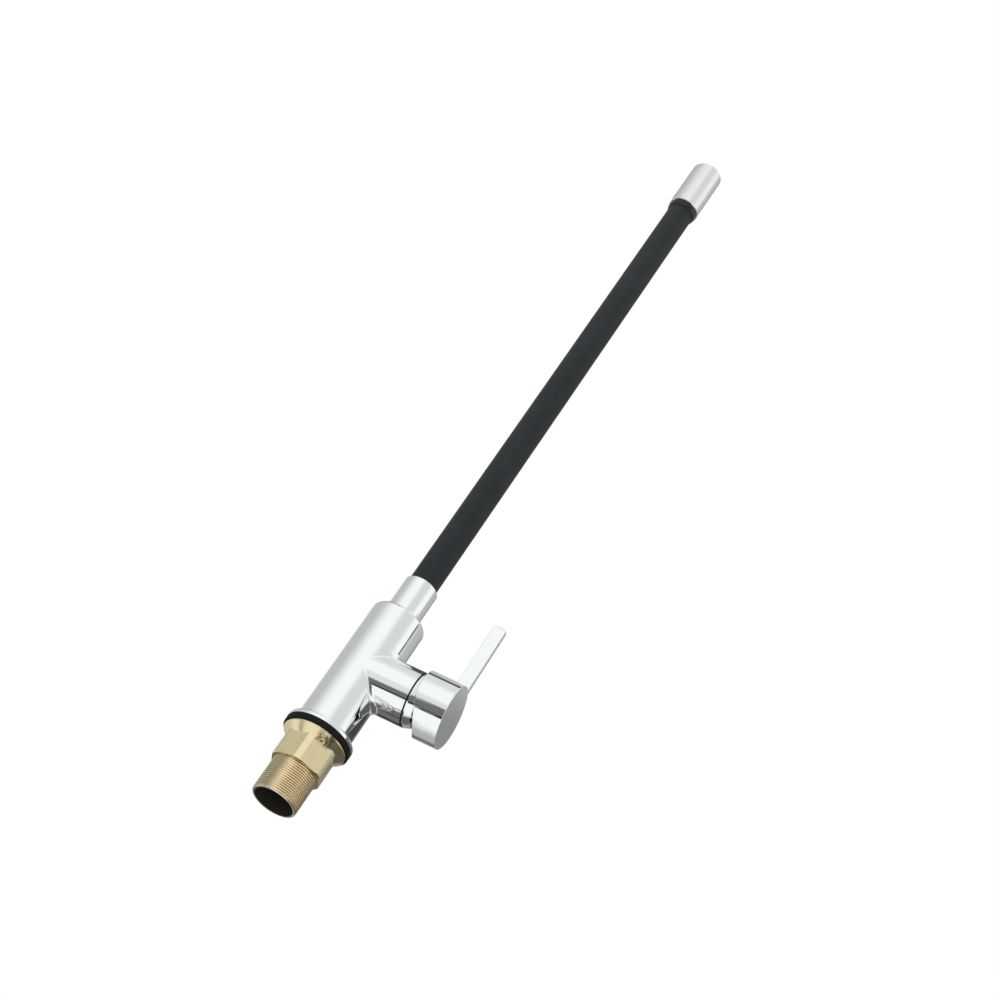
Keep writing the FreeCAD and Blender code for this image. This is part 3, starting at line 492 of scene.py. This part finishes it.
def angle_setting(name, description, degrees):
    return bpy.props.FloatProperty(
        name=name, description=description, default=math.radians(degrees), unit="ROTATION"
    )


def number_setting(name, description, default, least=0.0):
    return bpy.props.FloatProperty(
        name=name, description=description, default=default, min=least
    )


def share_setting(name, description, default):
    return bpy.props.FloatProperty(
        name=name, description=description, default=default, min=0.0, max=1.0, subtype="FACTOR"
    )


def count_setting(name, description, default, least):
    return bpy.props.IntProperty(
        name=name, description=description, default=default, min=least
    )


class TapFinishes(bpy.types.PropertyGroup):
    chrome: colour_setting(
        "Chrome", "Reflected tint of the polished plating", (0.905, 0.94, 0.938)
    )
    chrome_roughness: share_setting(
        "Chrome haze", "Least roughness of the polished plating", 0.03
    )
    satin: colour_setting("Satin", "Tint of the outlet sleeve's plating", (0.915, 0.92, 0.93))
    nut: colour_setting("Locknut", "Clean brass of the locknut", (0.85, 0.745, 0.46))
    # the stain colour, which on one side of the cone also stands in for painted shade under the flange
    nut_stain_and_shade: colour_setting(
        "Locknut stain", "Dull stains on the locknut", (0.16, 0.13, 0.055)
    )
    # centre of the patch of stain and painted shade
    stain_and_shade_turn: angle_setting("Stain turn", "Turn of the stain from +X towards -Y", 58)
    shank: colour_setting(
        "Shank", "Brass on the crests of the shank's thread", (1.0, 0.88, 0.63)
    )
    # painted shade: the colour that darkens the thread's roots between the crests
    shank_root_shade: colour_setting("Thread root", "Dirty brass between the crests", (0.28, 0.16, 0.07))
    shank_tarnish: colour_setting(
        "Tarnish", "Olive tarnish on one side of the shank", (0.56, 0.51, 0.36)
    )
    tarnish_turn: angle_setting(
        "Tarnish turn", "Turn of the tarnished side from +X towards +Y", -150
    )
    shank_rim: colour_setting("Shank rim", "Worn rim at the shank's lower end", (1.0, 0.90, 0.76))
    shank_bore: colour_setting(
        "Shank bore", "Oxidised inside of the shank", (0.036, 0.036, 0.023)
    )
    hose: colour_setting("Hose", "Charcoal silicone of the sleeve", (0.0195, 0.0232, 0.0250))
    hose_gloss: share_setting("Hose gloss", "Specular level of the sleeve", 0.16)
    seals: colour_setting(
        "Seals", "Black rubber of the gasket and the seals", (0.008, 0.009, 0.009)
    )
    end_collar: colour_setting("End ring", "Black ring under the outlet", (0.008, 0.008, 0.009))


class TapThread(bpy.types.PropertyGroup):
    pitch: length_setting("Pitch", "Rise of the shank's thread in one turn", 0.0015)
    depth: length_setting("Depth", "Height of the thread from root to crest", 0.00092)
    samples: count_setting("Steps per turn", "Points along the profile of one thread", 12, 4)
    columns: count_setting("Columns", "Points round the shank", 144, 24)
    bevel: length_setting("End bevel", "Bevel of the shank's lower rim", 0.0007)


class TapHose(bpy.types.PropertyGroup):
    step: length_setting("Ring spacing", "Distance between rings of the bendable skin", 0.0022)
    columns: count_setting("Columns", "Points round the sleeve", 96, 24)
    neck: length_setting("Neck", "How far a length of tube runs under the next one", 0.0022)
    tuck: length_setting("Tuck", "How much thinner the neck is", 0.0001)
    reach: number_setting(
        "Bend reach", "Spread of a bend each way, in half steps", 1 + math.sqrt(3), least=1.0
    )


class TapStudio(bpy.types.PropertyGroup):
    lens: number_setting("Lens", "Focal length of the camera in millimetres", 67.15, least=10.0)
    floor_drop: length_setting("Floor", "Depth of the floor below the deck", 0.85)
    ambient: number_setting("Soft light", "Level of the light from all sides", 0.72)
    key_level: number_setting("Key light", "Radiance of the main soft box", 3.2)
    fill_level: number_setting(
        "Fill light", "Radiance of the soft box on the lever's side", 1.4
    )


# Pieces


class TAP_OT_chromed_parts(bpy.types.Operator):
    """Plates the casting, the cover ring, the lever, the spout collar and the outlet's ring"""

    bl_idname = "tap.chromed_parts"
    bl_label = "Plate the chromed parts"

    def execute(self, context):
        dress(CHROMED, polished_chrome(context.scene.tap_finishes))
        return {"FINISHED"}


class TAP_OT_outlet(bpy.types.Operator):
    """Finishes the outlet sleeve and the black ring under it"""

    bl_idname = "tap.outlet"
    bl_label = "Finish the outlet"

    def execute(self, context):
        finishes = context.scene.tap_finishes
        dress(["outlet_cap"], satin_chrome(finishes))
        black = finishes.end_collar
        plastic = moulded_plastic("black_plastic", black, roughness=(0.2, 0.3), gloss=0.36)
        dress(["end_collar"], plastic)
        return {"FINISHED"}


class TAP_OT_locknut(bpy.types.Operator):
    """Gives the locknut its turned and stained brass, with painted shade on one side of the cone"""

    bl_idname = "tap.locknut"
    bl_label = "Finish the locknut"

    def execute(self, context):
        dress(["locknut"], nut_brass(context.scene.tap_finishes))
        return {"FINISHED"}


class TAP_OT_shank(bpy.types.Operator):
    """Cuts the thread of the shank"""

    bl_idname = "tap.shank"
    bl_label = "Cut the shank's thread"

    def execute(self, context):
        thread = context.scene.tap_thread
        inner, outer = radial_span("threaded_shank")
        low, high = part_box("threaded_shank")
        step = thread.pitch / thread.samples
        radii, heights = wall_profile(outer, inner, low.z, high.z, step, PLAIN_BORE_STEP)
        turn = np.linspace(0, math.tau, thread.columns, endpoint=False)
        depth = thread_depth(turn[None, :], heights[:, None], thread.pitch) * thread.depth
        # the thread fades out at the casting, and the bore has none
        below_casting = np.clip(-heights / thread.pitch, 0.0, 1.0)
        outside = np.isclose(radii, outer)
        cut = radii[:, None] - depth * (below_casting * outside)[:, None]
        bevel = outer - thread.bevel + (heights - low.z)
        radii = np.where(outside[:, None], np.minimum(cut, bevel[:, None]), cut)
        shank = turned_surface("shank_thread", radii, heights, thread.columns)
        brass = shank_brass(context.scene.tap_finishes, thread.depth)
        coat(shank, brass)
        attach(shank, "base")
        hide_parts("threaded_shank")
        return {"FINISHED"}


class TAP_OT_seals(bpy.types.Operator):
    """Gives every seal its matte black rubber"""

    bl_idname = "tap.seals"
    bl_label = "Finish the seals"

    def execute(self, context):
        colour = context.scene.tap_finishes.seals
        dress(RUBBER_SEALS, moulded_rubber("black_rubber", colour, roughness=0.62))
        return {"FINISHED"}


class TAP_OT_valve(bpy.types.Operator):
    """Finishes the pieces of the valve, the screws and the inner fittings"""

    bl_idname = "tap.valve"
    bl_label = "Finish the inner parts"

    def execute(self, context):
        grey, white = COLOURS["grey_plastic"], COLOURS["white_plastic"]
        brass, steel = COLOURS["inner_brass"], COLOURS["steel"]
        dress(MOULDED_GREY, moulded_plastic("grey_plastic", grey, roughness=(0.4, 0.5)))
        dress(MOULDED_WHITE, moulded_plastic("white_plastic", white, roughness=(0.35, 0.45)))
        dress(CERAMIC_DISCS, lapped_ceramic(COLOURS["ceramic"]))
        dress(INNER_BRASS, turned_metal("inner_brass", brass, 0.0003, roughness=(0.2, 0.32)))
        machined = turned_metal("machined_steel", steel, 0.00025, roughness=(0.22, 0.34))
        dress(STEEL_PARTS, machined)
        return {"FINISHED"}


class TAP_OT_hose(bpy.types.Operator):
    """Draws the sleeve and the water tube in lengths, each about one bending joint"""

    bl_idname = "tap.hose"
    bl_label = "Draw the hose"

    def execute(self, context):
        hose = context.scene.tap_hose
        sleeve = hose_rubber(context.scene.tap_finishes)
        white = COLOURS["white_plastic"]
        tube = moulded_plastic("tube_plastic", white, roughness=(0.3, 0.4))
        draw_lengths("hose_sleeve", sleeve, hose, hose.reach)
        draw_lengths("water_tube", tube, hose, 1.0)
        return {"FINISHED"}


def draw_lengths(node, material, hose, reach):
    """Draws a straight tube of the hose in lengths, in place of its node.

    A length runs from half a step below a bending joint to half a step above it. The reach,
    a number of half steps each way, is not used. At the first and the last joint there are
    two lengths. The outermost one joins a rigid fitting.
    """
    inner, outer = radial_span(node)
    low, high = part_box(node)
    middles = {name: JOINTS[name]["pos_m"][2] for name in BEND_JOINTS}
    first, second, last = BEND_JOINTS[0], BEND_JOINTS[1], BEND_JOINTS[-1]
    foot, top = middles[first], middles[last]
    half = (middles[second] - foot) / 2
    lengths = [(name, middle - half, middle + half, reach) for name, middle in middles.items()]
    lengths[:1] = [(first, low.z, foot, 1.0), (first, foot, foot + half, reach)]
    lengths[-1:] = [(last, top - half, top, reach), (last, top, high.z, 1.0)]
    for number, (name, lower, upper, spread) in enumerate(lengths, 1):
        joint, middle = JOINTS[name], middles[name]
        radii, heights = wall_profile(outer, inner, lower, upper, hose.step, hose.step)
        # a bend opens the seams halfway between two joints
        if upper == middle + half:
            radii, heights = with_neck(radii, heights, hose.tuck, hose.neck)
        piece = turned_surface("%s_%d" % (node, number), radii, heights, hose.columns)
        coat(piece, material)
        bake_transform(piece)
        # the first length stands for the whole node
        if number == 1:
            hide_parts(node)


# Studio


class Wall(NamedTuple):
    """A soft-edged grey area of the studio that polished metal mirrors, placed by direction in
    degrees. About Z its azimuth runs from +X towards +Y and its height from level towards +Z.
    About X, the branch's axis, they run from +Y towards +Z and from there towards +X. Its full
    shade spans a half width and a half height, and fades out over the two softnesses."""

    azimuth: float
    half_width: float
    side_softness: float
    height: float
    half_height: float
    height_softness: float
    shade: float
    about: str = "Z"


# a height, a half height and a softness about X
HUB_SPAN = (-18, 10, 6)
BRANCH_SPAN = (-24, 9, 0.1)


def hub_wall(azimuth, half_width, side_softness, shade):
    """A wall that the hub and the branch mirror along their whole length."""
    return Wall(azimuth, half_width, side_softness, *HUB_SPAN, shade, about="X")


def branch_wall(azimuth, half_width, side_softness, shade):
    """A wall that ends where its mirror image would pass from the branch to the hub."""
    return Wall(azimuth, half_width, side_softness, *BRANCH_SPAN, shade, about="X")


# azimuth, half width and softness, then height, half height and softness, then shade
WALLS = [
    # behind the left side of the barrel
    Wall(165, 20, 66, 34, 24, 40, 0.54),
    Wall(121, 4, 20, 30, 7, 6, 0.90),
    # in front of the right side
    Wall(-50, 12, 28, 30, 35, 26, 0.72),
    Wall(8, 4.5, 1.2, 28.7, 1.7, 0.2, 0.02),
    # behind the right side
    Wall(66, 43, 10, 30, 34, 12, 0.51),
    Wall(78, 4, 36, 30, 34, 26, 0.42),
    Wall(95, 9, 10, 29, 3.5, 3, 0.2),
    Wall(50, 42, 6, 26.7, 0.6, 0.5, 0.05),
    Wall(74.3, 2.5, 4, 26, 2.2, 1.6, 0.27),
    # below
    Wall(107, 36, 30, -42, 8, 34, 0.50),
    Wall(40, 45, 14, -35, 28, 14, 0.12),
    Wall(-107, 62, 14, -9, 4, 14, 0.77),
    Wall(-107, 62, 4, -28, 12, 4, 0.165),
    Wall(-107, 62, 4, -43.2, 2.7, 1.4, 0.02),
    # over and under the branch and the hub
    hub_wall(80, 2, 38, 0.50),
    hub_wall(108, 3, 32, 0.75),
    hub_wall(-23, 14, 36, 0.46),
    hub_wall(-10, 2, 24, 0.14),
    Wall(85.5, 4.5, 2.5, -14, 0.95, 0.15, 0.01, about="X"),
    branch_wall(-38.5, 52.5, 3, 0.145),
    branch_wall(-84, 4, 4, 0.085),
    branch_wall(-54, 3, 4, 0.085),
    branch_wall(-8, 7, 9, 0.045),
    branch_wall(58, 18, 4, 0.07),
    branch_wall(-131, 5, 3, 1.0),
    branch_wall(-140, 1.6, 2.5, 0.03),
    branch_wall(-166, 4, 5, 0.80),
    # over the lever's tip
    Wall(85, 45, 10, -13.2, 0.42, 0.08, 0.05, about="X"),
]


def studio_world(studio):
    """A white room: cameras see plain white, mirrors also see its grey walls, and everything
    else gets an even soft light. A wall's weight is one smooth window in azimuth times one in
    height, and the walls are laid over the white one after another."""
    world = bpy.data.worlds.new("studio")
    bpy.context.scene.world = world
    world.use_nodes = True
    world.node_tree.nodes.clear()
    room = Nodes(world.node_tree)

    def window(offset, half, softness):
        """1 up to the half width, and from there down to 0 over the softness."""
        start, stop = math.radians(half), math.radians(half + softness)
        return room.ranged(room.calculate("ABSOLUTE", offset), start, stop, low=1.0, high=0.0)

    parts = room.parts(room.coordinates("Generated"))
    azimuths = {
        "Z": room.calculate("ARCTAN2", parts["Y"], parts["X"]),
        "X": room.calculate("ARCTAN2", parts["Z"], parts["Y"]),
    }
    heights = {axis: room.calculate("ARCSINE", parts[axis]) for axis in azimuths}
    level = 1.0
    for wall in WALLS:
        aside = room.calculate("SUBTRACT", azimuths[wall.about], math.radians(wall.azimuth))
        turned = room.calculate("WRAP", aside, math.pi, -math.pi)
        above = room.calculate("SUBTRACT", heights[wall.about], math.radians(wall.height))
        weight = room.calculate(
            "MULTIPLY",
            window(turned, wall.half_width, wall.side_softness),
            window(above, wall.half_height, wall.height_softness),
        )
        level = room.mixed(weight, level, wall.shade, "FLOAT")
    rays = room.node("ShaderNodeLightPath").outputs
    unseen = room.mixed(rays["Is Glossy Ray"], studio.ambient, level, "FLOAT")
    seen = room.calculate("MAXIMUM", rays["Is Camera Ray"], rays["Is Transmission Ray"])
    strength = room.mixed(seen, unseen, 1.0, "FLOAT")
    white = room.node("ShaderNodeBackground", {"Color": (1, 1, 1, 1), "Strength": strength})
    room.node("ShaderNodeOutputWorld", {"Surface": white.outputs["Background"]})


LAMP_DISTANCE = 1.5


def soft_box(name, azimuth, height, side, level, target):
    """A square lamp in a direction from the target, with a radiance in place of a power: a
    square of side a that shines with radiance L has the power pi L a squared."""
    around, up = math.radians(azimuth), math.radians(height)
    outward = math.cos(up)
    away = np.array([outward * math.cos(around), outward * math.sin(around), math.sin(up)])
    lamp = bpy.data.lights.new(name, "AREA")
    lamp.size = side
    lamp.energy = math.pi * level * side * side
    holder = bpy.data.objects.new(name, lamp)
    holder.visible_glossy = False
    bpy.context.scene.collection.objects.link(holder)
    holder.matrix_world = aimed(target + away * LAMP_DISTANCE, away)


def aimed(place, back):
    """The placement of a lamp whose own Z axis points along back, level to the side."""
    side = np.cross([0.0, 0.0, 1.0], back)
    side /= np.linalg.norm(side)
    upward = np.cross(back, side)
    matrix = Matrix(np.stack([side, upward, back], axis=1).tolist()).to_4x4()
    matrix.translation = place.tolist()
    return matrix


CAMERA_PLACE = (0.33353, -0.96292, -0.48996)
CAMERA_RIGHT = (0.88528, -0.04384, 0.46298)
CAMERA_UP = (-0.38492, -0.62775, 0.67658)
CAMERA_BACK = (0.26098, -0.77718, -0.57261)


def add_camera(studio):
    """The photograph's own view, from low in front of the tap, with the tap leaning across it."""
    camera = bpy.data.cameras.new("camera")
    camera.lens = studio.lens
    camera.sensor_width = 36.0
    camera.clip_start = 0.01
    holder = bpy.data.objects.new("camera", camera)
    bpy.context.scene.collection.objects.link(holder)
    axes = Matrix((CAMERA_RIGHT, CAMERA_UP, CAMERA_BACK)).transposed().to_4x4()
    axes.translation = CAMERA_PLACE
    holder.matrix_world = axes
    bpy.context.scene.camera = holder


def add_floor(studio, half=3.0, lines=9):
    """A pale floor far below, a flat square grid."""
    across = np.linspace(-half, half, lines)
    x, y = np.meshgrid(across, across)
    places = np.stack([x, y, np.full_like(x, -studio.floor_drop)], axis=-1)
    here = np.arange(x.size).reshape(x.shape)
    faces = np.stack([here[:-1, :-1], here[:-1, 1:], here[1:, 1:], here[1:, :-1]], axis=-1)
    mesh = bpy.data.meshes.new("floor")
    mesh.from_pydata(places.reshape(-1, 3).tolist(), [], faces.reshape(-1, 4).tolist())
    recipe = Recipe("floor_paint", Roughness=0.9, Specular_IOR_Level=0.1)
    cloud = recipe.noise(recipe.coordinates(), scale=2.0)
    white = (1.0, 1.0, 1.0)
    darker, paler = solid(white, level=0.93), solid(white, level=0.96)
    recipe.set("Base Color", recipe.mixed(cloud, darker, paler))
    mesh.materials.append(recipe.material)
    floor = bpy.data.objects.new("floor", mesh)
    floor.visible_glossy = False
    bpy.context.scene.collection.objects.link(floor)


class TAP_OT_studio(bpy.types.Operator):
    """Sets up the camera, the white room, the soft boxes and the floor"""

    bl_idname = "tap.studio"
    bl_label = "Set up the studio"

    def execute(self, context):
        studio = context.scene.tap_studio
        add_camera(studio)
        studio_world(studio)
        low, high = (np.array(corner) for corner in CAD_BOX)
        middle = (low + high) / 2
        key, fill = studio.key_level, studio.fill_level
        soft_box("key_box", azimuth=-112, height=34, side=0.9, level=key, target=middle)
        soft_box("fill_box", azimuth=-6, height=32, side=0.6, level=fill, target=middle)
        add_floor(studio)
        context.scene.view_settings.view_transform = "Standard"
        return {"FINISHED"}


class TAP_PT_panel(bpy.types.Panel):
    """Lists the steps that dress the tap, with their settings"""

    bl_label = "Mixer tap"
    bl_idname = "TAP_PT_panel"
    bl_space_type = "VIEW_3D"
    bl_region_type = "UI"
    bl_category = "Mixer tap"

    def draw(self, context):
        for group, steps in PANEL_ORDER:
            box = self.layout.box()
            settings = getattr(context.scene, group)
            for name in settings.bl_rna.properties.keys():
                if name not in ("rna_type", "name"):
                    box.prop(settings, name)
            for step in steps:
                box.operator(step.bl_idname)


PANEL_ORDER = [
    (
        "tap_finishes",
        [TAP_OT_chromed_parts, TAP_OT_outlet, TAP_OT_locknut, TAP_OT_seals, TAP_OT_valve],
    ),
    ("tap_thread", [TAP_OT_shank]),
    ("tap_hose", [TAP_OT_hose]),
    ("tap_studio", [TAP_OT_studio]),
]

SETTINGS = {
    "tap_finishes": TapFinishes,
    "tap_thread": TapThread,
    "tap_hose": TapHose,
    "tap_studio": TapStudio,
}

CLASSES = [
    *SETTINGS.values(),
    *[step for _, steps in PANEL_ORDER for step in steps],
    TAP_PT_panel,
]


def register():
    for kind in CLASSES:
        bpy.utils.register_class(kind)
    for name, kind in SETTINGS.items():
        setattr(bpy.types.Scene, name, bpy.props.PointerProperty(type=kind))


def unregister():
    for name in SETTINGS:
        delattr(bpy.types.Scene, name)
    for kind in reversed(CLASSES):
        bpy.utils.unregister_class(kind)


def main():
    register()
    bpy.ops.tap.chromed_parts()
    bpy.ops.tap.outlet()
    bpy.ops.tap.locknut()
    bpy.ops.tap.shank()
    bpy.ops.tap.seals()
    bpy.ops.tap.valve()
    bpy.ops.tap.hose()
    bpy.ops.tap.studio()


if __name__ == "__main__":
    main()
